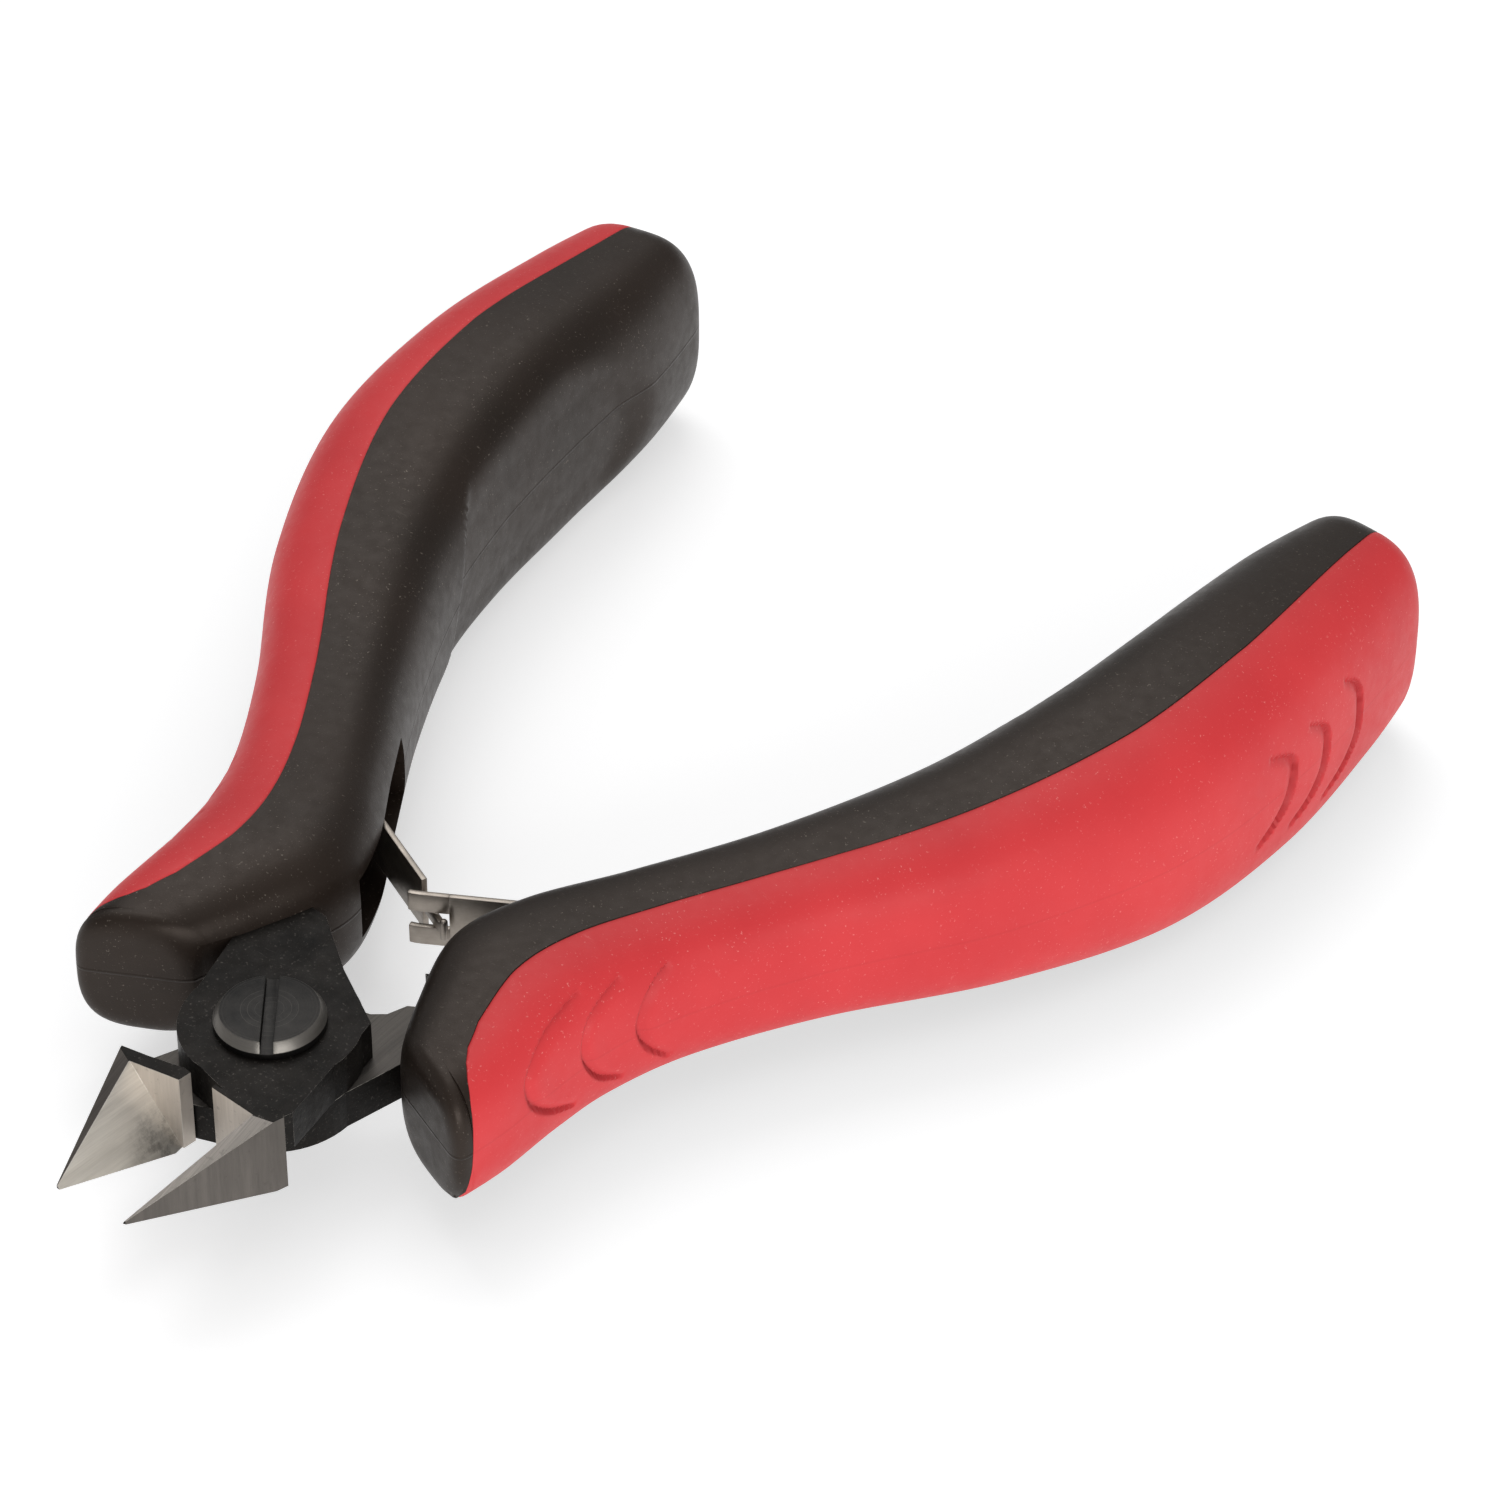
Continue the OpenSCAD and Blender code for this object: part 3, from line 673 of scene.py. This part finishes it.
def screw_material():
    """Turned rings round the pivot axis, and a brighter cone under the flat top."""
    m = Mat("screw_face")
    sep = m.n.new("ShaderNodeSeparateXYZ")
    m.link(m.co, sep.inputs[0])
    dx = m.math("SUBTRACT", sep.outputs[0], PIVOT.x * MM)
    dy = m.math("SUBTRACT", sep.outputs[1], PIVOT.y * MM)
    r = m.math("SQRT", m.math("ADD", m.math("MULTIPLY", dx, dx), m.math("MULTIPLY", dy, dy)))
    comb = m.n.new("ShaderNodeCombineXYZ")
    m.link(r, comb.inputs[0])
    rings = m.noise(5200, 5, 0.7, comb.outputs[0])
    blot = m.ramp(m.noise(420, 5, 0.6), [(0.3, 0), (0.7, 1)])
    col = m.mix(blot, (0.014, 0.0135, 0.013), (0.03, 0.028, 0.026))
    col = m.mix(m.math("MULTIPLY", m.ramp(rings, [(0.57, 0), (0.64, 1)]), 0.55), col, (0.13, 0.12, 0.11))
    # the cone starts 3.78 mm from the axis
    on_cone = m.ramp(m.math("MULTIPLY", r, 200.0), [(0.752, 0), (0.762, 1)])
    low = (HEAD_TOP - 0.8) * MM
    over = m.ramp(m.math("MULTIPLY", m.math("SUBTRACT", sep.outputs[2], low), 1000.0), [(0.0, 0), (0.06, 1)])
    bright = m.math("MULTIPLY", on_cone, over)
    col = m.mix(m.math("MULTIPLY", bright, m.ramp(rings, [(0.3, 0.7), (0.7, 1.0)])), col, (0.22, 0.205, 0.185))
    m.set("Base Color", col)
    m.set("Metallic", 0.85)
    m.set("Roughness", m.ramp(rings, [(0.3, 0.3), (0.7, 0.48)]))
    m.set("Normal", m.bump(rings, 0.4, 0.00005, m.bump(m.noise(1800, 4), 0.15, 0.00004)))
    return m.m


screw = steel_copy("screw", "pivot_screw", 0.07, 2, 25)
SCREW = screw_material()
screw.data.materials.clear()
screw.data.materials.append(SCREW)
screw.data.materials.append(EDGE_WORN)
for p in screw.data.polygons:
    p.use_smooth = True
screw.data.set_sharp_from_angle(angle=math.radians(30))
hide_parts("pivot_screw")
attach(screw, "right")


# ---- Springs ------------------------------------------------------------------------------

def nickel():
    m = Mat("nickel_spring")
    fine = m.noise(1.0, 5, 0.7, m.mapping((300.0, 300.0, 9000.0)))
    col = m.mix(m.ramp(m.noise(500, 5), [(0.35, 0), (0.7, 1)]), (0.4, 0.355, 0.31), (0.27, 0.24, 0.21))
    col = m.mix(m.math("MULTIPLY", m.ramp(fine, [(0.55, 0), (0.7, 1)]), 0.3), col, (0.24, 0.21, 0.18))
    m.set("Base Color", col)
    m.set("Metallic", 1.0)
    m.set("Roughness", m.ramp(fine, [(0.3, 0.3), (0.7, 0.45)]))
    m.set("Normal", m.bump(fine, 0.2, 0.00003))
    return m.m


NICKEL = nickel()
BEND = (8.2, 27.4)
FOOT_TURN, LEAF_TURN = math.radians(71), math.radians(215.6)
LEAF_LEN, LEAF_T, LEAF_W = 13.6, 0.5, 5.0


def strip_path():
    """Centre line of a leaf from its foot round the bend, with the free arm's direction and the bend."""
    f = Vector((math.cos(FOOT_TURN), math.sin(FOOT_TURN)))
    l = Vector((math.cos(LEAF_TURN), math.sin(LEAF_TURN)))
    b = Vector(BEND)
    path = [b + f * d for d in (6.7, 5, 3.5, 2.2, 1.4, 0.9)]
    for k in range(1, 8):
        u = k / 8
        p0, p1, p2 = b + f * 0.9, b, b + l * 0.9
        path.append(p0 * (1 - u) ** 2 + p1 * 2 * u * (1 - u) + p2 * u * u)
    path += [b + l * d for d in (0.9, 2, 4, 6, 8, 10, 11)]
    return path, l, b


def leaf(side, word):
    """One spring strip in one piece: foot, bend, arm, and the fork (right) or neck and bar (left)."""
    path, l, b = strip_path()
    perp = Vector((-l.y, l.x))
    pieces = []

    def band(points, z0, z1):
        pts = [Vector(p) for p in points]
        verts, faces = [], []
        n = len(pts)
        for i, p in enumerate(pts):
            d = (pts[min(i + 1, n - 1)] - pts[max(i - 1, 0)]).normalized()
            q = Vector((-d.y, d.x)) * LEAF_T / 2
            for s, z in ((1, z0), (1, z1), (-1, z1), (-1, z0)):
                verts.append((p.x + q.x * s, p.y + q.y * s, z))
        for i in range(n - 1):
            for j in range(4):
                a, c = i * 4 + j, i * 4 + (j + 1) % 4
                faces.append((a, c, c + 4, a + 4))
        faces += [(3, 2, 1, 0), tuple((n - 1) * 4 + k for k in range(4))]
        pieces.append((verts, faces))
    h = LEAF_W / 2
    if side > 0:
        root = path + [b + l * 12.0, b + l * (LEAF_LEN + 2.1 - 3.2)]
        band(root, -h, h)
        for z0, z1 in ((0.75, h), (-h, -0.75)):
            tip = [b + l * d for d in (12.45, 13.2, 14.0, 14.8)]
            tip += [b + l * 15.3 - perp * 0.03, b + l * 15.7 - perp * 0.12]
            band(tip, z0, z1)
    else:
        band(path + [b + l * (LEAF_LEN - 2.0)], -h, h)
        band([b + l * d for d in (11.55, 12.4, 13.2, 14.0, 14.8)], -0.55, 0.55)
    out = []
    for k, (verts, faces) in enumerate(pieces):
        o = new_object(f"{word}_leaf_{k}", to_frame(verts, side), faces, smooth=False)
        out.append(o)
    if side < 0:
        c = b + l * (LEAF_LEN + 1.45)
        verts, faces = [], []
        ring = 16
        prof = [(-1.0, 0.0), (-1.0, 0.16), (-0.93, 0.27), (-0.8, 0.32), (0.8, 0.32), (0.93, 0.27), (1.0, 0.16), (1.0, 0.0)]
        for z, r in prof:
            for k in range(ring):
                th = 2 * math.pi * k / ring
                verts.append((c.x + (r + 1e-4) * math.cos(th), c.y + (r + 1e-4) * math.sin(th), z))
        for i in range(len(prof) - 1):
            for k in range(ring):
                a0, a1 = i * ring + k, i * ring + (k + 1) % ring
                faces.append((a0, a1, a1 + ring, a0 + ring))
        out.append(new_object(f"{word}_bar", to_frame(verts, side), faces))
    bpy.ops.object.select_all(action="DESELECT")
    for o in out:
        o.select_set(True)
    bpy.context.view_layer.objects.active = out[0]
    bpy.ops.object.join()
    o = bpy.context.view_layer.objects.active
    o.name = word + "_spring"
    mod = o.modifiers.new("bevel", "BEVEL")
    mod.width = 0.09 * MM
    mod.segments = 2
    mod.limit_method = "ANGLE"
    mod.angle_limit = math.radians(35)
    apply_modifiers(o)
    for p in o.data.polygons:
        p.use_smooth = True
    o.data.set_sharp_from_angle(angle=math.radians(35))
    o.data.materials.clear()
    o.data.materials.append(NICKEL)
    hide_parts(word + "_spring_foot", word + "_spring_leaf")
    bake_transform(o)


for side, word in ((1, "right"), (-1, "left")):
    leaf(side, word)
    rivet = steel_copy(word + "_rivet", word + "_spring_rivet", 0.12, 3, 30)
    rivet.data.materials.clear()
    rivet.data.materials.append(NICKEL)
    for p in rivet.data.polygons:
        p.use_smooth = True
        p.material_index = 0
    rivet.data.set_sharp_from_angle(angle=math.radians(35))
    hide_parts(word + "_spring_rivet")
    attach(rivet, word)

# ---- Floor, light, camera -------------------------------------------------------------------
floor_mesh = bpy.data.meshes.new("floor")
floor_mesh.from_pydata([(-3, -3, 0), (3, -3, 0), (3, 3, 0), (-3, 3, 0)], [], [(0, 1, 2, 3)])
floor = bpy.data.objects.new("floor", floor_mesh)
bpy.context.scene.collection.objects.link(floor)
fm = Mat("paper")
fm.set("Base Color", fm.mix(fm.ramp(fm.noise(6, 2), [(0.3, 0), (0.7, 1)]), (0.77, 0.77, 0.775), (0.75, 0.75, 0.755)))
fm.set("Roughness", 0.95)
fm.set("Specular IOR Level", 0.1)
fm.set("Emission Color", (1.0, 1.0, 1.0))
fm.set("Emission Strength", 0.5)
floor_mesh.materials.append(fm.m)
floor.location.z = -0.00002

world = bpy.data.worlds.new("studio")
world.use_nodes = True
bg = world.node_tree.nodes["Background"]
bg.inputs[0].default_value = (1.0, 1.0, 1.0, 1)
bg.inputs[1].default_value = 0.36
bpy.context.scene.world = world


def area(name, loc, target, size, power, colour=(1, 1, 1)):
    light = bpy.data.lights.new(name, "AREA")
    light.shape = "RECTANGLE"
    light.size, light.size_y = size
    light.energy = power
    light.color = colour
    o = bpy.data.objects.new(name, light)
    o.location = loc
    d = Vector(target) - Vector(loc)
    o.rotation_euler = d.to_track_quat("-Z", "Y").to_euler()
    bpy.context.scene.collection.objects.link(o)
    return o


area("key", (-0.3, 0.28, 0.62), (0, 0, 0), (0.5, 0.5), 1.6)
area("fill", (0.62, -0.5, 0.3), (0, 0, 0.01), (0.7, 0.4), 3.7)
area("top", (0.05, 0.0, 0.8), (0, 0, 0), (0.7, 0.7), 0.75)

# The camera looks at the middle of the screw head's top, which sits left of and below the centre
EL, AZ = math.radians(38.6), math.radians(36.05)
FOCAL_PX, PX_PER_MM = 6000.0, 51.05 / 3.8
back = Vector((math.sin(AZ) * math.cos(EL), -math.cos(AZ) * math.cos(EL), math.sin(EL)))
fwd = -back
right = Vector((math.cos(AZ), math.sin(AZ), 0))
up = right.cross(fwd)
look = fwd + right * ((269.5 - 750) / FOCAL_PX) - up * ((1008.5 - 750) / FOCAL_PX)
screw_top = Vector((PIVOT.x, PIVOT.y, HEAD_TOP))
cam_at = screw_top - look * (FOCAL_PX / PX_PER_MM)
cam = bpy.data.cameras.new("camera")
cam.sensor_width = 36.0
cam.lens = FOCAL_PX / 1500.0 * 36.0
cam.clip_start, cam.clip_end = 0.05, 20.0
cam_o = bpy.data.objects.new("camera", cam)
cam_o.matrix_world = Matrix((
    (right.x, up.x, back.x, cam_at.x * MM),
    (right.y, up.y, back.y, cam_at.y * MM),
    (right.z, up.z, back.z, cam_at.z * MM),
    (0, 0, 0, 1)))
bpy.context.scene.collection.objects.link(cam_o)
bpy.context.scene.camera = cam_o
bpy.context.scene.view_settings.view_transform = "Standard"
bpy.context.scene.view_settings.look = "None"
